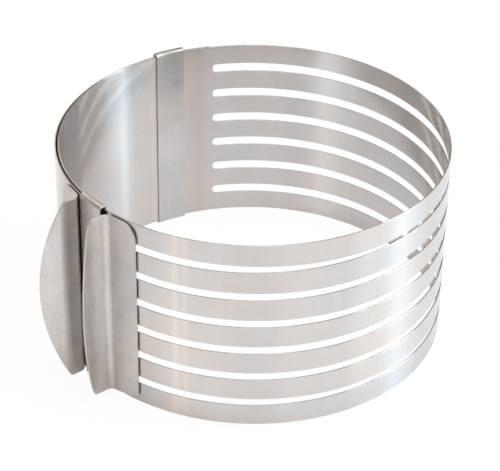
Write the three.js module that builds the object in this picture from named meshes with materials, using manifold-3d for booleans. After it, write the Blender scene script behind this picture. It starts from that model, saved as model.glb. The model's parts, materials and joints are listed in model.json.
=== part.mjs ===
import * as THREE from "three";
import { mergeVertices } from "three/addons/utils/BufferGeometryUtils.js";
import Module from "manifold-3d";

// Adjustable cake ring at its smallest setting, in millimetres, +Z up, handles towards -Y.
// A slotted strip is rolled into a ring and a plain strip laps round the outside of its seam.
// A guide clip at one end of each strip hooks over both, so the strips slide round each other.

// Bands
const ringDiameter = 160; // to the middle of the slotted sheet
const bandHeight = 85;
const bandSheet = 0.5;
const bandGap = 0.8; // running gap between the slotted and the plain band
const seamGap = 1; // between the two ends of the slotted band
const plainOverrun = 12.5; // plain band past the back clip, on the outside
const plainInset = 4; // plain band short of the front clip's free side

// Knife slots
const slotCount = 6;
const slotHeight = 3.6;
const slotSetback = 13.5; // from the back clip to the slots' ends

// Guide clips
const clipTurn = 97; // degrees clockwise from the middle of the handles to the back clip
const clipLap = 4; // back clip past the slotted band's end, over the tail
const clipWidth = 13.4;
const clipSheet = 0.6;
const clipBend = 0.9; // inside radius of the folds
const hookLength = 4; // how far a hook reaches past the bands' edge
const hookGap = 0.4; // running gap between a hook and the band that slides in it
const edgeGap = 0.65; // running gap over the bands' top and bottom edges

// Handles
const gripSheet = 0.8;
const gripBend = 2.5; // inside radius where the flange turns out into the web
const flangeWidth = 14.9; // from the web's inner face to the flange's free edge
const flangeCornerTop = 6.5;
const flangeCornerBottom = 1.8;
const flangeRise = 11; // degrees by which the flange's lower edge climbs to its free edge
const webReach = 8; // from the flange's face to the end of the web
const flareBend = 9; // inside radius where the web turns into the flared wing
const flareTurn = 36; // degrees that the wing turns away from the other handle
const bowDepth = 7.6; // how far the wing bows out past the web at mid height
const wingCorner = 3; // rounded ends of the wing's free edge
const gripInset = 0.6; // handle short of the band at top and bottom

// Fits
const weldGap = 0.3; // between a clip's plate and the band that it is spot welded to
const flangeGap = 0.4; // between a handle's flange and the band that it is spot welded to
const clipSideGap = 0.4; // between the front clip and the left handle's web
const stopGap = 2; // between the front clip and the right handle's web when the ring is closed
const slotTuck = 2.5; // how far the slots run in under the right handle's flange

// Facets
const wallStep = THREE.MathUtils.degToRad(3);
const bendStep = THREE.MathUtils.degToRad(18);
const bowStep = THREE.MathUtils.degToRad(3);
const slotEndSides = 16;

// Radii of the sheets' faces, from the inside out
const slottedInner = ringDiameter / 2 - bandSheet / 2;
const slottedOuter = slottedInner + bandSheet;
const plainInner = slottedOuter + bandGap;
const plainOuter = plainInner + bandSheet;

// Places round the ring, as angles from +X, with the middle of the handles at -Y
const handleMiddle = -Math.PI / 2;
const webGap = clipSideGap + clipWidth + stopGap; // between the facing sides of the two webs
const frontClipFrom = handleMiddle - (webGap / 2 - clipSideGap) / plainOuter;
const frontClipTo = frontClipFrom + clipWidth / plainOuter;
const backClipTo = handleMiddle - THREE.MathUtils.degToRad(clipTurn);
const backClipFrom = backClipTo - clipWidth / slottedOuter;
const seam = backClipTo - clipLap / slottedOuter;
const tailEnd = seam + seamGap / slottedOuter;
const plainFrom = backClipFrom - plainOverrun / plainOuter;
const plainTo = frontClipTo - plainInset / plainOuter;
const slotsTo = backClipFrom - slotSetback / slottedOuter;

// The handles' flanges, welded to the outside of the bands
const rightSeat = slottedOuter + flangeGap;
const leftSeat = plainOuter + flangeGap;
const slotsFrom = handleMiddle + (webGap / 2 + flangeWidth - slotTuck) / rightSeat;

const wasm = await Module();
wasm.setup();

// A closed geometry as a solid that can be joined and cut
function solid(geometry) {
  geometry.deleteAttribute("normal");
  geometry.deleteAttribute("uv");
  const merged = mergeVertices(geometry, 1e-5);
  const vertProperties = new Float32Array(merged.attributes.position.array);
  const triVerts = new Uint32Array(merged.index.array);
  return new wasm.Manifold(new wasm.Mesh({ numProp: 3, vertProperties, triVerts }));
}

// A solid as a named mesh with its own brushed steel
function piece(name, body, colour, roughness) {
  const { vertProperties, triVerts } = body.getMesh();
  const geometry = new THREE.BufferGeometry();
  geometry.setAttribute("position", new THREE.BufferAttribute(vertProperties, 3));
  geometry.setIndex(new THREE.BufferAttribute(triVerts, 1));
  geometry.computeVertexNormals();
  const steel = new THREE.MeshStandardMaterial({ color: colour, roughness, metalness: 1 });
  const mesh = new THREE.Mesh(geometry, steel);
  mesh.name = name;
  return mesh;
}

// Points along an arc about a centre
function arc(x, y, radius, from, to, step) {
  const count = Math.max(1, Math.ceil(Math.abs(to - from) / step));
  return Array.from({ length: count + 1 }, (_, i) => {
    const angle = from + ((to - from) * i) / count;
    return new THREE.Vector2(x + radius * Math.cos(angle), y + radius * Math.sin(angle));
  });
}

// A flat outline raised from one height to another
function prism(points, low, high) {
  const shape = new THREE.Shape(points);
  const geometry = new THREE.ExtrudeGeometry(shape, { depth: high - low, bevelEnabled: false });
  return geometry.translate(0, 0, low);
}

// A curved wall about the ring's axis
function wall(inner, outer, from, to, low, high) {
  const outside = arc(0, 0, outer, from, to, wallStep);
  const inside = arc(0, 0, inner, to, from, wallStep);
  return solid(prism([...outside, ...inside], low, high));
}

// One knife slot with full-round ends, cut right through the sheet
function slot(from, to, low) {
  const radius = slotHeight / 2;
  const depth = 4 * bandSheet;
  const middle = ringDiameter / 2;
  const inset = radius / middle;
  const cut = wall(middle - depth / 2, middle + depth / 2, from + inset, to - inset, low, low + slotHeight);
  return [from + inset, to - inset].reduce((body, angle) => {
    const end = new THREE.CylinderGeometry(radius, radius, depth, slotEndSides);
    end.rotateZ(angle - Math.PI / 2);
    end.translate(middle * Math.cos(angle), middle * Math.sin(angle), low + radius);
    return body.add(solid(end));
  }, cut);
}

// Slotted band: equal lands between the slots, with a plain tail behind the plain band
function slottedBand() {
  const land = (bandHeight - slotCount * slotHeight) / (slotCount + 1);
  let body = wall(slottedInner, slottedOuter, tailEnd, seam + 2 * Math.PI, 0, bandHeight);
  for (let i = 0; i < slotCount; i++) {
    const low = land + i * (land + slotHeight);
    body = body.subtract(slot(slotsFrom, slotsTo + 2 * Math.PI, low));
  }
  return body;
}

// Plain band: round the outside of the seam, from the front clip to past the back clip
function plainBand() {
  return wall(plainInner, plainOuter, plainFrom, plainTo, 0, bandHeight);
}

// Guide clip: a plate on one side of the bands and hooks folded over both edges to the other.
// The profile runs from the hooks' inner faces, u = 0, to the plate's inner face.
function clip(plateFace, hookFace, from, to) {
  const width = Math.abs(plateFace - hookFace);
  const side = Math.sign(plateFace - hookFace);
  const low = -edgeGap;
  const high = bandHeight + edgeGap;
  const outer = clipBend + clipSheet;
  const right = width - clipBend;
  const quarter = Math.PI / 2;
  const corner = (u, z, radius, turn, sweep) =>
    arc(u, z, radius, turn * quarter, (turn + sweep) * quarter, bendStep);
  const tipHigh = bandHeight - hookLength;
  const profile = [
    new THREE.Vector2(-clipSheet, hookLength),
    ...corner(clipBend, low + clipBend, outer, 2, 1),
    ...corner(right, low + clipBend, outer, 3, 1),
    ...corner(right, high - clipBend, outer, 0, 1),
    ...corner(clipBend, high - clipBend, outer, 1, 1),
    new THREE.Vector2(-clipSheet, tipHigh),
    new THREE.Vector2(0, tipHigh),
    ...corner(clipBend, high - clipBend, clipBend, 2, -1),
    ...corner(right, high - clipBend, clipBend, 1, -1),
    ...corner(right, low + clipBend, clipBend, 0, -1),
    ...corner(clipBend, low + clipBend, clipBend, 3, -1),
    new THREE.Vector2(0, hookLength),
    new THREE.Vector2(-clipSheet, hookLength),
  ];
  const turned = profile.map(({ x, y }) => new THREE.Vector2(hookFace + side * x, y));
  const ordered = side > 0 ? turned : turned.reverse();
  const ring = new THREE.LatheGeometry(ordered, Math.round((2 * Math.PI) / wallStep));
  ring.rotateX(Math.PI / 2);
  const span = wall(slottedInner / 2, 2 * plainOuter, from, to, low - outer, high + outer);
  return solid(ring).intersect(span);
}

// Handle: a flange on the band, a web that stands out and a bowed wing flared to the flange's side.
// The two webs stand parallel, so that they meet flat when the handles are pinched.
// It is drawn for the right hand, and hand = -1 mirrors it across the middle of the handles.
function handle(seat, hand) {
  const face = seat + gripSheet;
  const along = new THREE.Vector2(Math.cos(handleMiddle), Math.sin(handleMiddle));
  const side = new THREE.Vector2(-along.y, along.x);
  const outerBend = gripBend + gripSheet;
  const bendAngle = handleMiddle + Math.asin((webGap / 2 + outerBend) / (face + gripBend));
  const bend = arc(0, 0, face + gripBend, bendAngle, bendAngle, 1)[0];
  const toAxis = bendAngle + Math.PI;
  const toWeb = handleMiddle - Math.PI / 2 + 2 * Math.PI;
  const edge = handleMiddle + (webGap / 2 + flangeWidth) / seat;
  const flare = THREE.MathUtils.degToRad(flareTurn);
  const webEnd = face + webReach;
  const webRun = webEnd - along.dot(bend) - flareBend * Math.tan(flare / 2);
  const flareCentre = bend.clone().addScaledVector(along, webRun);
  flareCentre.addScaledVector(side, flareBend - gripBend);
  const wing = along.clone().rotateAround(new THREE.Vector2(), flare);
  const wingRun = (2 * bowDepth) / Math.cos(flare);
  const wingTip = (radius) => {
    const root = arc(flareCentre.x, flareCentre.y, radius, toWeb + flare, toWeb + flare, 1)[0];
    return root.addScaledVector(wing, wingRun);
  };
  const plan = [
    ...arc(0, 0, seat, edge, bendAngle, wallStep),
    ...arc(bend.x, bend.y, outerBend, toAxis, toWeb, bendStep).slice(1),
    ...arc(flareCentre.x, flareCentre.y, flareBend + gripSheet, toWeb, toWeb + flare, bendStep / 2),
    wingTip(flareBend + gripSheet),
    wingTip(flareBend),
    ...arc(flareCentre.x, flareCentre.y, flareBend, toWeb + flare, toWeb, bendStep / 2),
    ...arc(bend.x, bend.y, gripBend, toWeb, toAxis, bendStep),
    ...arc(0, 0, face, bendAngle, edge, wallStep).slice(1),
  ];
  const low = gripInset;
  const high = bandHeight - gripInset;
  const mirror = ({ x, y }) => new THREE.Vector2(hand * x, y);
  const sheet = solid(prism(plan.map(mirror), low, high));

  // Bowed free edge of the wing with rounded ends, seen square to the web
  const middle = (low + high) / 2;
  const half = middle - low;
  const bowRadius = (half * half + bowDepth * bowDepth) / (2 * bowDepth);
  const bowCentre = webEnd + bowDepth - bowRadius;
  const bowHalf = Math.asin((half - wingCorner) / (bowRadius - wingCorner));
  const cornerX = bowCentre + (bowRadius - wingCorner) * Math.cos(bowHalf);
  const bow = [
    new THREE.Vector2(0, low),
    ...arc(cornerX, low + wingCorner, wingCorner, -Math.PI / 2, -bowHalf, bendStep),
    ...arc(bowCentre, middle, bowRadius, -bowHalf, bowHalf, bowStep).slice(1),
    ...arc(cornerX, high - wingCorner, wingCorner, bowHalf, Math.PI / 2, bendStep).slice(1),
    new THREE.Vector2(0, high),
  ];
  const bowCut = prism(bow, -ringDiameter / 2, ringDiameter / 2);
  bowCut.applyMatrix4(upright(mirror(along)));

  // Climbing lower edge and rounded corners of the flange, seen square to it
  const top = flangeCornerTop;
  const bottom = flangeCornerBottom;
  const rise = THREE.MathUtils.degToRad(flangeRise);
  const root = flangeWidth - outerBend;
  const bottomZ = low + ((root - bottom) * Math.sin(rise) + bottom) / Math.cos(rise);
  const corners = [
    new THREE.Vector2(-ringDiameter, low),
    new THREE.Vector2(-root, low),
    ...arc(-bottom, bottomZ, bottom, rise - Math.PI / 2, 0, bendStep),
    ...arc(-top, high - top, top, 0, Math.PI / 2, bendStep),
    new THREE.Vector2(-ringDiameter, high),
  ];
  const cornerCut = prism(corners, -ringDiameter / 4, ringDiameter / 4);
  const foot = mirror(new THREE.Vector2(seat * Math.cos(edge), seat * Math.sin(edge)));
  const outward = mirror(new THREE.Vector2(-Math.sin(edge), Math.cos(edge)));
  cornerCut.applyMatrix4(upright(outward)).translate(foot.x, foot.y, 0);

  return sheet.intersect(solid(bowCut)).intersect(solid(cornerCut));
}

// Stands a flat outline upright, with its x along a level direction and its y up
function upright(direction) {
  const x = new THREE.Vector3(direction.x, direction.y, 0);
  const up = new THREE.Vector3(0, 0, 1);
  return new THREE.Matrix4().makeBasis(x, up, new THREE.Vector3().crossVectors(x, up));
}

const frontClip = clip(plainOuter + weldGap, slottedInner - hookGap, frontClipFrom, frontClipTo);
const backClip = clip(slottedInner - weldGap, plainOuter + hookGap, backClipFrom, backClipTo);

const ring = new THREE.Group();
ring.name = "cake_ring";
ring.add(
  piece("slotted_band", slottedBand(), 0xccc7c3, 0.32),
  piece("plain_band", plainBand(), 0xc9c8c8, 0.3),
  piece("front_clip", frontClip, 0xcfc6bd, 0.34),
  piece("back_clip", backClip, 0xc4c0bc, 0.34),
  piece("left_handle", handle(leftSeat, -1), 0xd0cbc8, 0.36),
  piece("right_handle", handle(rightSeat, 1), 0xc2bfbb, 0.36),
);

// The frame stands at the bottom centre of the whole part
const box = new THREE.Box3().setFromObject(ring);
const centre = box.getCenter(new THREE.Vector3());
ring.position.set(-centre.x, -centre.y, -box.min.z);

export default ring;
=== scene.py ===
import json
import math

import bmesh
import bpy
from mathutils import Euler, Matrix, Vector


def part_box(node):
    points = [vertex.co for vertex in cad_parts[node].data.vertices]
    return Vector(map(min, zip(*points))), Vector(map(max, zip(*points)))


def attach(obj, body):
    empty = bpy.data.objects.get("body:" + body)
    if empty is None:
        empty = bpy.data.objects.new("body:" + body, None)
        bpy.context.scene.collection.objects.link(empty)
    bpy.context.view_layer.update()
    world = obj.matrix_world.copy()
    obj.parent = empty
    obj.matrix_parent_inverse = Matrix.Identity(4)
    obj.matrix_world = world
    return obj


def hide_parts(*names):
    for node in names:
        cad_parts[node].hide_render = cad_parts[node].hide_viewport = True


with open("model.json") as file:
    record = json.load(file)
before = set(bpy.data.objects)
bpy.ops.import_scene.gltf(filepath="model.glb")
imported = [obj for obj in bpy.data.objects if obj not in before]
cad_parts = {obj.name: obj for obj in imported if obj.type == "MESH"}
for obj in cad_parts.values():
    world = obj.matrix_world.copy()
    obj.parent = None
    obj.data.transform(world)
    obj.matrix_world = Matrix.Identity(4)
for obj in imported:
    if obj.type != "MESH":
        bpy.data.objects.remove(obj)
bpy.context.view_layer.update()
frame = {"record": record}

# Camera
# Long lens from above the handles' right, a little rolled, with the ring's middle above the frame's.
ring_axis = Vector(frame["record"]["behaviour"]["joints"][0]["pos_m"])
view_turn = math.radians(50)
view_drop = math.radians(33.12)
view_roll = math.radians(0.85)
view_distance = 0.8265
look_offset = Vector((-0.00139, 0, 0.04375))
look_at = ring_axis + Matrix.Rotation(view_turn, 3, "Z") @ look_offset
looking = Euler((math.pi / 2 - view_drop, 0, view_turn)).to_matrix()
bpy.ops.object.select_all(action="DESELECT")
bpy.ops.object.camera_add(location=look_at + view_distance * looking.col[2])
camera = bpy.context.object
camera.rotation_euler = (looking @ Matrix.Rotation(view_roll, 3, "Z")).to_euler()
camera.data.sensor_width = 36
camera.data.lens = 141.64
camera.data.shift_y = -0.0227
camera.data.clip_end = 20
bpy.context.scene.camera = camera


# Slotted band
# A thin stainless strip rolled into a ring until its ends nearly meet at the back left.
# Six level slots are punched through it for a knife, and the left wall stays plain.
band_sheet = 0.0005
band_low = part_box("slotted_band")[0][2]
band_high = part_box("slotted_band")[1][2]
slotted_radius = 0.080
slotted_outer = slotted_radius + band_sheet / 2
band_step = math.radians(0.75)
band_edge_break = 0.00008
handle_middle = math.radians(-90)
web_half_gap = 0.0079
flange_width = 0.0149
flange_gap = 0.0004
right_seat = slotted_outer + flange_gap
clip_width = 0.0134
back_clip_to = handle_middle - math.radians(97)
back_clip_from = back_clip_to - clip_width / slotted_outer
seam_inset = 0.004
seam_gap = 0.001
seam = back_clip_to - seam_inset / slotted_outer
tail_end = seam + seam_gap / slotted_outer
slot_tuck = 0.0025
slot_stop = 0.0135
slots_from = handle_middle + (web_half_gap + flange_width - slot_tuck) / right_seat
slots_to = back_clip_from - slot_stop / slotted_outer + 2 * math.pi
slot_count = 6
slot_height = 0.0036
slot_land = (band_high - band_low - slot_count * slot_height) / (slot_count + 1)
slot_step = slot_land + slot_height
slot_margin = 0.002
same_place = 1e-5
merge_distance = 1e-6


def round_ring(radius, turn, height):
    across = radius * math.cos(turn)
    along = radius * math.sin(turn)
    return Vector((ring_axis.x + across, ring_axis.y + along, height))


def start_sheet(name, place):
    bpy.ops.object.select_all(action="DESELECT")
    bpy.ops.mesh.primitive_plane_add(size=0.001, location=place)
    sheet = bpy.context.object
    sheet.name = name
    bpy.ops.object.transform_apply(location=True, rotation=False, scale=False)
    bpy.ops.object.mode_set(mode="EDIT")
    bpy.ops.mesh.select_mode(type="VERT")
    bpy.ops.mesh.select_all(action="SELECT")
    bpy.ops.mesh.merge(type="CENTER")
    return sheet


def run_on(offset):
    bpy.ops.mesh.extrude_region_move(TRANSFORM_OT_translate={"value": offset})


def bend_on(turn, steps, centre, axis=(0, 0, 1)):
    bpy.ops.mesh.spin(steps=steps, angle=-turn, center=centre, axis=axis)


def roll_on(turn):
    bend_on(turn, max(1, round(abs(turn) / band_step)), ring_axis)


def select_edges(sheet, wanted):
    bpy.ops.mesh.select_mode(type="EDGE")
    bpy.ops.mesh.select_all(action="DESELECT")
    mesh = bmesh.from_edit_mesh(sheet.data)
    for edge in mesh.edges:
        edge.select_set(wanted(edge.verts[0].co, edge.verts[1].co))
    bmesh.update_edit_mesh(sheet.data)


def turn_of(point):
    return math.atan2(point.y - ring_axis.y, point.x - ring_axis.x)


def apply_modifier(sheet, kind, **settings):
    modifier = sheet.modifiers.new(kind.title(), kind)
    for name, value in settings.items():
        setattr(modifier, name, value)
    bpy.ops.object.modifier_apply(modifier=modifier.name)


def finish_sheet(sheet, thickness, edge_break):
    bpy.ops.mesh.select_all(action="SELECT")
    bpy.ops.mesh.remove_doubles(threshold=merge_distance)
    bpy.ops.mesh.normals_make_consistent(inside=False)
    bpy.ops.object.mode_set(mode="OBJECT")
    apply_modifier(sheet, "SOLIDIFY", thickness=thickness, offset=0, use_even_offset=True)
    break_edges(sheet, edge_break)


def break_edges(sheet, width):
    sharp = math.radians(40)
    smooth = math.radians(30)
    apply_modifier(sheet, "BEVEL", width=width, segments=1, limit_method="ANGLE", angle_limit=sharp)
    bpy.ops.object.shade_smooth_by_angle(angle=smooth)


def on_column(turn):
    def test(a, b):
        apart = [math.remainder(turn_of(point) - turn, 2 * math.pi) for point in (a, b)]
        return all(abs(angle) < same_place for angle in apart)
    return test


def in_slot(height):
    return (height - band_low) % slot_step > slot_land and height < band_high - slot_land


slotted_band = start_sheet("slotted_band_sheet", round_ring(slotted_radius, tail_end, band_low))
for _ in range(slot_count):
    run_on((0, 0, slot_land))
    run_on((0, 0, slot_height))
run_on((0, 0, slot_land))
bpy.ops.mesh.select_all(action="SELECT")
slot_end_turn = slot_height / 2 / slotted_radius
slot_margin_turn = slot_margin / slotted_radius
open_from = slots_from + slot_end_turn
open_to = slots_to - slot_end_turn
roll_on(slots_from - slot_margin_turn - tail_end)
bend_on(slot_margin_turn + slot_end_turn, 1, ring_axis)
first_open = on_column(open_from)
select_edges(slotted_band, lambda a, b: first_open(a, b) and not in_slot((a.z + b.z) / 2))
roll_on(open_to - open_from)
last_open = on_column(open_to)
for i in range(slot_count):
    low = band_low + slot_land + i * slot_step - same_place
    high = low + slot_height + 2 * same_place
    bpy.ops.mesh.select_mode(type="VERT")
    bpy.ops.mesh.select_all(action="DESELECT")
    mesh = bmesh.from_edit_mesh(slotted_band.data)
    for vert in mesh.verts:
        if last_open(vert.co, vert.co) and low < vert.co.z < high:
            vert.select_set(True)
    bmesh.update_edit_mesh(slotted_band.data)
    bpy.ops.mesh.edge_face_add()
select_edges(slotted_band, last_open)
bend_on(slot_margin_turn + slot_end_turn, 1, ring_axis)
roll_on(seam + 2 * math.pi - slots_to - slot_margin_turn)

# The slots' ends are rounded by pushing the cut ends of their edges back on half circles
slot_end_cuts = 11
corner_share = 0.01
for column, outward in ((first_open, -1), (last_open, 1)):
    select_edges(slotted_band, lambda a, b: column(a, b) and in_slot((a.z + b.z) / 2))
    bpy.ops.mesh.subdivide(number_cuts=slot_end_cuts)
    mesh = bmesh.from_edit_mesh(slotted_band.data)
    for vert in mesh.verts:
        if column(vert.co, vert.co) and in_slot(vert.co.z):
            part = ((vert.co.z - band_low) % slot_step - slot_land) / slot_height
            if corner_share < part < 1 - corner_share:
                arc = math.pi * part
                middle = vert.co.z - (part - 0.5) * slot_height
                turn = turn_of(vert.co) + outward * slot_end_turn * math.sin(arc)
                vert.co = round_ring(slotted_radius, turn, middle - slot_height / 2 * math.cos(arc))
    bmesh.update_edit_mesh(slotted_band.data)

# The thin lands give a little, so that the slots are lower at the front right and taller at the back
front_squeeze = 0.07
right_squeeze = (0.27, 0.08, -0.08, 0.06, 0.1, 0.45)
back_stretch = 0.08
right_starts, right_full = -65, 10
back_starts, back_full = 35, 70


def eased(value, start, end):
    part = min(1, max(0, (value - start) / (end - start)))
    return part * part * (3 - 2 * part)


mesh = bmesh.from_edit_mesh(slotted_band.data)
for vert in mesh.verts:
    slot = math.floor((vert.co.z - band_low - slot_land / 2) / slot_step)
    if 0 <= slot < slot_count:
        turn = math.degrees(turn_of(vert.co))
        at_back = eased(turn, back_starts, back_full)
        at_right = eased(turn, right_starts, right_full)
        in_front = front_squeeze + right_squeeze[slot] * at_right
        squeeze = in_front * (1 - at_back) - back_stretch * at_back
        middle = band_low + slot_land + slot_height / 2 + slot * slot_step
        vert.co.z = middle + (vert.co.z - middle) * (1 - squeeze)
bmesh.update_edit_mesh(slotted_band.data)
finish_sheet(slotted_band, band_sheet, band_edge_break)


class Wire:
    def __init__(self, tree, socket=None):
        self.tree = tree
        self.socket = socket

    def node(self, kind, settings, inputs, output=0):
        made = self.tree.nodes.new(kind)
        for name, value in settings.items():
            if name == "stops":
                ramp = made.color_ramp
                while len(ramp.elements) < len(value):
                    ramp.elements.new(1)
                for element, (place, colour) in zip(ramp.elements, value):
                    element.position = place
                    element.color = (*colour, 1)
            else:
                setattr(made, name, value)
        for key, value in inputs.items():
            if isinstance(value, Wire):
                self.tree.links.new(value.socket, made.inputs[key])
            else:
                made.inputs[key].default_value = value
        return Wire(self.tree, made.outputs[output] if made.outputs else None)

    def math(self, operation, a, b):
        return self.node("ShaderNodeMath", {"operation": operation}, {0: a, 1: b})

    def __add__(self, other):
        return self.math("ADD", self, other)

    def __sub__(self, other):
        return self.math("SUBTRACT", self, other)

    def __rsub__(self, other):
        return self.math("SUBTRACT", other, self)

    def __mul__(self, other):
        return self.math("MULTIPLY", self, other)

    __radd__ = __add__
    __rmul__ = __mul__


def brushed_steel(name, colour, grain, streak, mottle, roughness, anisotropy, turn, relief, ripple,
                  gloss, painted_light_lines=(), marks_and_painted_light=()):
    broad_share = 0.18
    cool_tint = (0.96, 1.0, 1.04)
    warm_tint = (1.04, 1.0, 0.96)
    no_tint = (1, 1, 1)
    spot_core = 0.0003
    bump_height = 0.0001
    fine_roughness = 0.07
    broad_roughness = 0.06
    bright_roughness = 0.08
    material = bpy.data.materials.new(name)
    material.use_nodes = True
    material.node_tree.nodes.clear()
    wire = Wire(material.node_tree)
    place = wire.node("ShaderNodeTexCoord", {}, {}, "Object")

    def noise(stretch, detail):
        scaled = wire.node("ShaderNodeMapping", {}, {"Vector": place, "Scale": stretch})
        inputs = {"Vector": scaled, "Scale": 1, "Detail": detail}
        return wire.node("ShaderNodeTexNoise", {}, inputs, "Fac")

    fine = noise(grain, 4)
    broad = noise([broad_share * value for value in grain], 2)
    hair = noise(streak, 3)
    cloud = noise((28, 28, 22), 2)
    bloom = noise((130, 130, 130), 3)
    wave = noise((120, 120, 3), 2)
    # Each noise has its weight, and half their sum comes off so that the mean colour stays
    uneven = 0.1 * fine + 0.04 * broad + 0.08 * wave + 0.06 * hair + 0.08 * bloom - 0.18
    shade = 1.0 + mottle * uneven
    # Small weld marks, and wide patches of painted light and painted shade, each added to the shade
    for spot, reach, lift in marks_and_painted_light:
        away = wire.node("ShaderNodeVectorMath", {"operation": "DISTANCE"}, {0: place, 1: spot},
                         "Value")
        shade = shade + wire.node("ShaderNodeMapRange", {"interpolation_type": "SMOOTHSTEP"},
                                  {0: away, 1: spot_core, 2: reach, 3: lift, 4: 0.0}, "Result")
    tinted = wire.node(
        "ShaderNodeValToRGB",
        {"stops": [(0.3, [c * t for c, t in zip(colour, cool_tint)]),
                   (0.7, [c * t for c, t in zip(colour, warm_tint)])]},
        {"Fac": cloud}, "Color")
    base = wire.node("ShaderNodeVectorMath", {"operation": "SCALE"}, {0: tinted, "Scale": shade},
                     "Vector")
    # Painted highlight and painted shade: upright columns that multiply the colour by turn round the
    # ring
    if painted_light_lines:
        from_axis = wire.node("ShaderNodeMapping", {}, {"Vector": place, "Location": -ring_axis})
        around = wire.node("ShaderNodeTexGradient", {"gradient_type": "RADIAL"},
                           {"Vector": from_axis}, "Fac")
        stops = []
        for turned, half, lift in painted_light_lines:
            for offset, tint in ((-half, no_tint), (0, lift), (half, no_tint)):
                stops.append(((turned + offset) / 360 + 0.5, tint))
        lines = wire.node("ShaderNodeValToRGB", {"stops": stops}, {"Fac": around}, "Color")
        base = wire.node("ShaderNodeVectorMath", {"operation": "MULTIPLY"}, {0: base, 1: lines},
                         "Vector")
    rough = roughness + fine_roughness * (fine - 0.5) + broad_roughness * (broad - 0.5)
    rolled = wire.node(
        "ShaderNodeBump", {},
        {"Strength": ripple, "Distance": bump_height, "Height": hair}, "Normal")
    bump = wire.node(
        "ShaderNodeBump", {},
        {"Strength": relief, "Distance": bump_height, "Height": fine, "Normal": rolled}, "Normal")
    satin = wire.node(
        "ShaderNodeBsdfPrincipled", {},
        {"Base Color": base, "Roughness": rough, "Metallic": 1.0, "Normal": bump,
         "Anisotropic": anisotropy, "Anisotropic Rotation": turn}, "BSDF")
    bright = wire.node(
        "ShaderNodeBsdfPrincipled", {},
        {"Base Color": base, "Roughness": bright_roughness, "Metallic": 1.0}, "BSDF")
    surface = wire.node("ShaderNodeMixShader", {}, {0: gloss, 1: satin, 2: bright})
    wire.node("ShaderNodeOutputMaterial", {}, {"Surface": surface})
    return material


def dress(piece, material, node, body):
    piece.data.materials.clear()
    piece.data.materials.append(material)
    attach(piece, body)
    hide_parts(node)


# Upright lines painted into the colour by turn round the ring: painted highlights and painted shade
# columns, and at 158.5 a darker tan tint. Turn and half width in degrees, and what the colour is
# multiplied by
band_painted_light_lines = [
    (-173.8, 2.4, (1.17, 1.19, 1.19)),
    (-147, 6, (0.85, 0.87, 0.87)),
    (-120, 14, (1.2, 1.22, 1.25)),
    (-62.2, 1, (1.2, 1.18, 1.13)),
    (-59, 0.8, (1.1, 1.08, 1.04)),
    (-39, 11.5, (0.905, 0.92, 0.935)),
    (117.6, 6, (1.07, 1.1, 1.12)),
    (158.5, 4.2, (0.98, 0.93, 0.91)),
    (163.9, 1.2, (1.07, 1.08, 1.08)),
    (174.9, 0.8, (1.18, 1.09, 0.98)),
]
# Painted light: a paler patch at the back rim, with its middle, reach and lift
band_painted_light_spots = [(round_ring(slotted_radius, math.radians(118), 0.084), 0.024, 0.16)]
band_steel = brushed_steel(
    "band_steel_brushed", colour=(0.62, 0.595, 0.58), grain=(60, 60, 900), streak=(650, 650, 6),
    mottle=1.0, roughness=0.3, anisotropy=1.0, turn=0.25, relief=0.05, ripple=0.4, gloss=0.27,
    painted_light_lines=band_painted_light_lines, marks_and_painted_light=band_painted_light_spots)
dress(slotted_band, band_steel, "slotted_band", "slotted_side")


# Back clip
# A narrow guide of thin sheet, spot welded inside the slotted band's back end.
# Its top and bottom edges fold outwards over both bands into short hooks.
clip_sheet = 0.0006
clip_bend = 0.0009
hook_length = 0.004
hook_gap = 0.0004
edge_gap = 0.00065
band_gap = 0.0008
weld_gap = 0.0003
weld_line = 0.00006
clip_edge_break = 0.00008
clip_bend_steps = 6
clip_roll_steps = 16
plain_outer = slotted_outer + band_gap + band_sheet


def fold_clip(name, plate_face, hook_face, turn_from, turn_to):
    outward = 1 if plate_face > hook_face else -1
    hook_middle = hook_face - outward * clip_sheet / 2
    along = Vector((-math.sin(turn_from), math.cos(turn_from), 0))
    across = Vector((math.cos(turn_from), math.sin(turn_from), 0)) * outward
    up = Vector((0, 0, 1))
    mean_bend = clip_bend + clip_sheet / 2
    span = abs(plate_face - hook_face) - 2 * clip_bend
    hook_run = hook_length + edge_gap - clip_bend
    plate_run = band_high - band_low + 2 * (edge_gap - clip_bend)
    place = round_ring(hook_middle, turn_from, band_high - hook_length)
    sheet = start_sheet(name, place)
    for heading, side, length in ((up, across, hook_run), (across, -up, span),
                                  (-up, -across, plate_run), (-across, up, span)):
        run_on(heading * length)
        place = place + heading * length
        bend_on(outward * math.pi / 2, clip_bend_steps, place + side * mean_bend, along)
        place = place + (heading + side) * mean_bend
    run_on(up * hook_run)
    bpy.ops.mesh.select_all(action="SELECT")
    bend_on(turn_to - turn_from, clip_roll_steps, ring_axis)
    finish_sheet(sheet, clip_sheet, clip_edge_break)
    return sheet


# Spot welds and the heat round them as small dots, and two wide patches on the plate: painted shade
# over its top and painted light lower down. Middle, reach and lift of each
back_welds_and_painted_light = [
    # Painted shade over the top of the back clip's plate
    ((-0.0761, 0.0268, 0.0845), 0.026, -0.25),
    ((-0.07626, 0.02633, 0.07915), 0.0021, 0.05),
    ((-0.07605, 0.02722, 0.0714), 0.0021, -0.05),
    ((-0.07603, 0.02732, 0.04851), 0.0021, 0.07),
    ((-0.07622, 0.02647, 0.03011), 0.0021, -0.06),
    # Painted light, a paler patch lower on the plate
    ((-0.0761, 0.0268, 0.0392), 0.017, 0.12),
]
clip_steel = brushed_steel(
    "clip_steel_brushed", colour=(0.595, 0.588, 0.585), grain=(60, 60, 700), streak=(400, 400, 30),
    mottle=1.1, roughness=0.44, anisotropy=0.5, turn=0.25, relief=0.0, ripple=0.1, gloss=0.1,
    marks_and_painted_light=back_welds_and_painted_light)
slotted_inner = slotted_radius - band_sheet / 2
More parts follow.
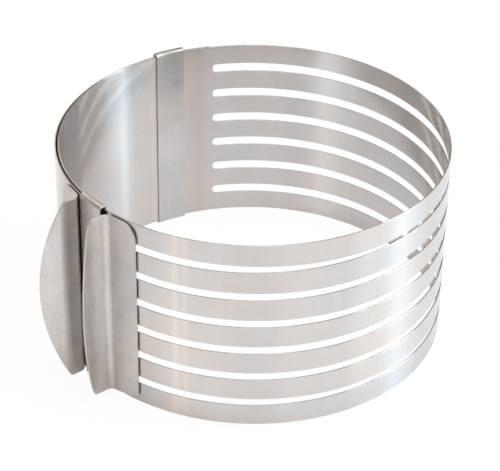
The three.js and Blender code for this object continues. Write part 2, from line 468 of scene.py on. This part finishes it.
back_clip = fold_clip("back_clip_sheet", slotted_inner - weld_line, plain_outer + hook_gap,
                      back_clip_from, back_clip_to)
dress(back_clip, clip_steel, "back_clip", "slotted_side")


# Right handle
# A folded grip of thicker sheet: a flange welded to the slotted band, a web that stands out,
# and a bowed wing that flares away from the other handle so that fingers can pinch the pair.
grip_sheet = 0.0008
grip_bend = 0.0025
flange_corner_top = 0.0065
flange_corner_bottom = 0.0018
flange_rise = math.radians(11)
grip_edge_break = 0.0001
flange_steps = 16
fold_steps = 14
flare_steps = 10
bow_steps = 60
small_corner_steps = 8
large_corner_steps = 12
grip_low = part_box("right_handle")[0][2]
grip_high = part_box("right_handle")[1][2]


def cut_to(sheet, cutter):
    bpy.context.view_layer.objects.active = sheet
    apply_modifier(sheet, "BOOLEAN", operation="INTERSECT", solver="EXACT", object=cutter)
    bpy.data.objects.remove(cutter)


def close_cutter(across):
    bpy.ops.mesh.select_all(action="SELECT")
    bpy.ops.mesh.edge_face_add()
    run_on(across)
    bpy.ops.mesh.select_all(action="SELECT")
    bpy.ops.mesh.normals_make_consistent(inside=False)
    bpy.ops.object.mode_set(mode="OBJECT")
    bpy.ops.object.select_all(action="DESELECT")


def fold_grip(name, seat, hand, web_reach, flare_bend, flare_turn, bow_depth, wing_corner):
    def turned(angle):
        return angle if hand > 0 else math.pi - angle

    def heading(angle):
        return Vector((math.cos(turned(angle)), math.sin(turned(angle)), 0))

    face = seat + grip_sheet
    middle = seat + grip_sheet / 2
    along = heading(handle_middle)
    side = heading(handle_middle + math.pi / 2)
    bend_side = web_half_gap + grip_bend + grip_sheet
    bend_place = handle_middle + math.asin(bend_side / (face + grip_bend))
    bend_centre = round_ring(face + grip_bend, turned(bend_place), grip_low)
    edge = handle_middle + (web_half_gap + flange_width) / seat
    web_end = face + web_reach
    bend_reach = along.dot(bend_centre - ring_axis)
    web_run = web_end - bend_reach - flare_bend * math.tan(flare_turn / 2)
    wing_run = 2 * bow_depth
    flare_centre = bend_centre + along * web_run + side * (flare_bend - grip_bend)
    grip_height = grip_high - grip_low

    spare = 0.001
    sheet = start_sheet(name, round_ring(middle, turned(edge), grip_low - spare))
    bend_on(hand * (bend_place - edge), flange_steps, ring_axis)
    bend_on(hand * (handle_middle + math.pi / 2 - bend_place), fold_steps, bend_centre)
    run_on(along * web_run)
    bend_on(hand * flare_turn, flare_steps, flare_centre)
    run_on(heading(handle_middle + flare_turn) * wing_run)
    bpy.ops.mesh.select_all(action="SELECT")
    run_on((0, 0, grip_height + 2 * spare))
    bpy.ops.mesh.select_all(action="SELECT")
    bpy.ops.mesh.normals_make_consistent(inside=False)
    bpy.ops.object.mode_set(mode="OBJECT")
    apply_modifier(sheet, "SOLIDIFY", thickness=grip_sheet, offset=0, use_even_offset=True)

    # Bowed free edge of the wing, traced with its rounded ends and drawn out into a cutter
    half = grip_height / 2
    bow_radius = (half * half + bow_depth * bow_depth) / (2 * bow_depth)
    bow_centre = web_end + bow_depth - bow_radius
    bow_half = math.asin((half - wing_corner) / (bow_radius - wing_corner))
    corner_out = bow_centre + (bow_radius - wing_corner) * math.cos(bow_half)
    cutter_back = 0.05
    cutter_half = 0.1

    def beside_web(reach, height):
        return ring_axis + along * reach + Vector((0, 0, height)) - side * cutter_half

    cutter = start_sheet("bow_cutter", beside_web(cutter_back, grip_low))
    run_on(along * (corner_out - cutter_back))
    corner_turn = hand * (bow_half - math.pi / 2)
    lower_corner = beside_web(corner_out, grip_low + wing_corner)
    upper_corner = beside_web(corner_out, grip_high - wing_corner)
    bend_on(corner_turn, small_corner_steps, lower_corner, side)
    bend_on(-hand * 2 * bow_half, bow_steps, beside_web(bow_centre, grip_low + half), side)
    bend_on(corner_turn, small_corner_steps, upper_corner, side)
    run_on(along * (cutter_back - corner_out))
    close_cutter(side * 2 * cutter_half)
    cut_to(sheet, cutter)

    # Climbing lower edge and rounded corners of the flange, traced square to it
    free = heading(edge + math.pi / 2)
    outward = heading(edge)
    up = Vector((0, 0, 1))
    cutter_slack = 1e-5
    low = grip_low - cutter_slack
    high = grip_high + cutter_slack
    root = flange_width - grip_bend - grip_sheet
    climb = root - flange_corner_bottom
    rise_sin = math.sin(flange_rise)
    rise_cos = math.cos(flange_rise)
    bottom_turn = low + (climb * rise_sin + flange_corner_bottom) / rise_cos
    climb_run = (climb + flange_corner_bottom * rise_sin) / rise_cos

    def beside_flange(inset, height):
        return round_ring(seat, turned(edge), height) - free * inset - outward * cutter_half / 2

    cutter = start_sheet("corner_cutter", beside_flange(cutter_back, low))
    run_on(free * (cutter_back - root))
    run_on((free * rise_cos + up * rise_sin) * climb_run)
    bottom_centre = beside_flange(flange_corner_bottom, bottom_turn)
    top_centre = beside_flange(flange_corner_top, high - flange_corner_top)
    bend_on(hand * (math.pi / 2 - flange_rise), small_corner_steps, bottom_centre, outward)
    run_on(up * (high - flange_corner_top - bottom_turn))
    bend_on(hand * math.pi / 2, large_corner_steps, top_centre, outward)
    run_on(free * (flange_corner_top - cutter_back))
    close_cutter(outward * cutter_half)
    cut_to(sheet, cutter)
    sheet.select_set(True)
    break_edges(sheet, grip_edge_break)
    return sheet


grip_steel = brushed_steel(
    "grip_steel_brushed", colour=(0.605, 0.595, 0.588), grain=(1100, 1100, 600),
    streak=(900, 900, 40), mottle=3.0, roughness=0.48, anisotropy=0.4, turn=0.0, relief=0.3,
    ripple=0.5, gloss=0.0)
right_handle = fold_grip(
    "right_handle_sheet", right_seat, hand=1, web_reach=0.008, flare_bend=0.009,
    flare_turn=math.radians(36), bow_depth=0.0076, wing_corner=0.003)
dress(right_handle, grip_steel, "right_handle", "slotted_side")


# Plain band
# A shorter strip without slots that laps round the outside of the left wall and over the seam.
# It ends under the front clip, and towards the back it springs in close to the slotted band.
plain_radius = plain_outer - band_sheet / 2
clip_to_web = 0.0004
plain_overrun = 0.0125
plain_inset = 0.004
front_clip_from = handle_middle - (web_half_gap - clip_to_web) / plain_outer
front_clip_to = front_clip_from + clip_width / plain_outer
plain_from = back_clip_from - plain_overrun / plain_outer
plain_to = front_clip_to - plain_inset / plain_outer
close_gap = 0.00015
close_from = math.radians(-118)
close_over = math.radians(40)
plain_band = start_sheet("plain_band_sheet", round_ring(plain_radius, plain_from, band_low))
run_on((0, 0, band_high - band_low))
bpy.ops.mesh.select_all(action="SELECT")
roll_on(plain_to - plain_from)
mesh = bmesh.from_edit_mesh(plain_band.data)
for vert in mesh.verts:
    turn = turn_of(vert.co)
    past = -math.remainder(turn - close_from, 2 * math.pi)
    closed = eased(past, 0, close_over) * (band_gap - close_gap)
    vert.co = round_ring(plain_radius - closed, turn, vert.co.z)
bmesh.update_edit_mesh(plain_band.data)
finish_sheet(plain_band, band_sheet, band_edge_break)
dress(plain_band, band_steel, "plain_band", "plain_side")


# Front clip
# The plain band's guide, folded the other way: the plate lies outside between the handles
# and the hooks fold inwards over both bands' edges.
front_clip = fold_clip("front_clip_sheet", plain_outer + weld_gap, slotted_inner - hook_gap,
                       front_clip_from, front_clip_to)
dress(front_clip, clip_steel, "front_clip", "plain_side")


# Left handle
# The same grip mirrored, welded to the plain band.
# Its wing is bent out a little nearer to the band, so the wing is wider and its free edge more bowed.
left_seat = plain_outer + flange_gap
left_handle = fold_grip(
    "left_handle_sheet", left_seat, hand=-1, web_reach=0.0064, flare_bend=0.0065,
    flare_turn=math.radians(32), bow_depth=0.0092, wing_corner=0.0015)
dress(left_handle, grip_steel, "left_handle", "plain_side")


# Floor and light
# White paper under the ring that keeps a faint shadow, in an evenly lit warm room.
# Six soft lamps make the bright columns that the brushed metal shows.
bpy.ops.object.select_all(action="DESELECT")
floor_size = 40
seen_share = 0.94
mirrored_share = 0.02
bpy.ops.mesh.primitive_plane_add(size=floor_size)
floor = bpy.context.object
floor.name = "floor"
paper = bpy.data.materials.new("white_paper")
paper.use_nodes = True
paper.node_tree.nodes.clear()
wire = Wire(paper.node_tree)
camera_ray = wire.node("ShaderNodeLightPath", {}, {}, "Is Camera Ray")
glossy_ray = wire.node("ShaderNodeLightPath", {}, {}, "Is Glossy Ray")
clear_ray = wire.node("ShaderNodeLightPath", {}, {}, "Is Transmission Ray")
seen = seen_share * (camera_ray + clear_ray) + mirrored_share * glossy_ray
matt = wire.node("ShaderNodeBsdfDiffuse", {}, {"Color": (0.9, 0.9, 0.9, 1)}, "BSDF")
white = wire.node("ShaderNodeEmission", {}, {"Color": (1, 1, 1, 1), "Strength": 1.0},
                  "Emission")
surface = wire.node("ShaderNodeMixShader", {}, {0: seen, 1: matt, 2: white})
wire.node("ShaderNodeOutputMaterial", {}, {"Surface": surface})
floor.data.materials.append(paper)

world = bpy.data.worlds.new("white_room")
bpy.context.scene.world = world
world.use_nodes = True
room = world.node_tree.nodes["Background"]
room.inputs["Color"].default_value = (1, 0.86, 0.755, 1)
room.inputs["Strength"].default_value = 0.435


def soft_lamp(name, turn, rise, distance, width, height, energy, colour):
    turn = math.radians(turn)
    rise = math.radians(rise)
    level = math.cos(rise)
    direction = Vector((level * math.cos(turn), level * math.sin(turn), math.sin(rise)))
    bpy.ops.object.select_all(action="DESELECT")
    bpy.ops.object.light_add(type="AREA", location=ring_axis + direction * distance)
    lamp = bpy.context.object
    lamp.name = name
    lamp.rotation_euler = direction.to_track_quat("Z", "Y").to_euler()
    lamp.data.shape = "RECTANGLE"
    lamp.data.size = width
    lamp.data.size_y = height
    lamp.data.energy = energy
    lamp.data.color = colour


soft_lamp("right_softbox", turn=50.5, rise=28, distance=2.2, width=0.3, height=0.8, energy=10,
          colour=(0.968, 0.985, 1.0))
soft_lamp("right_window", turn=52, rise=30, distance=2.2, width=0.9, height=0.8, energy=22.6,
          colour=(0.52, 0.80, 1.0))
soft_lamp("front_softbox", turn=28, rise=32, distance=4, width=0.86, height=1.4, energy=25,
          colour=(0.942, 1.0, 0.916))
soft_lamp("left_softbox", turn=-84, rise=32, distance=4, width=0.8, height=1.4, energy=19,
          colour=(1.0, 0.74, 0.53))
soft_lamp("back_softbox", turn=165, rise=42, distance=1.4, width=0.6, height=0.4, energy=1.0,
          colour=(1.0, 0.86, 0.72))
soft_lamp("overhead_softbox", turn=0, rise=85, distance=1.5, width=0.8, height=0.8, energy=15,
          colour=(0.952, 0.961, 1.0))

bpy.context.scene.view_settings.view_transform = "Standard"
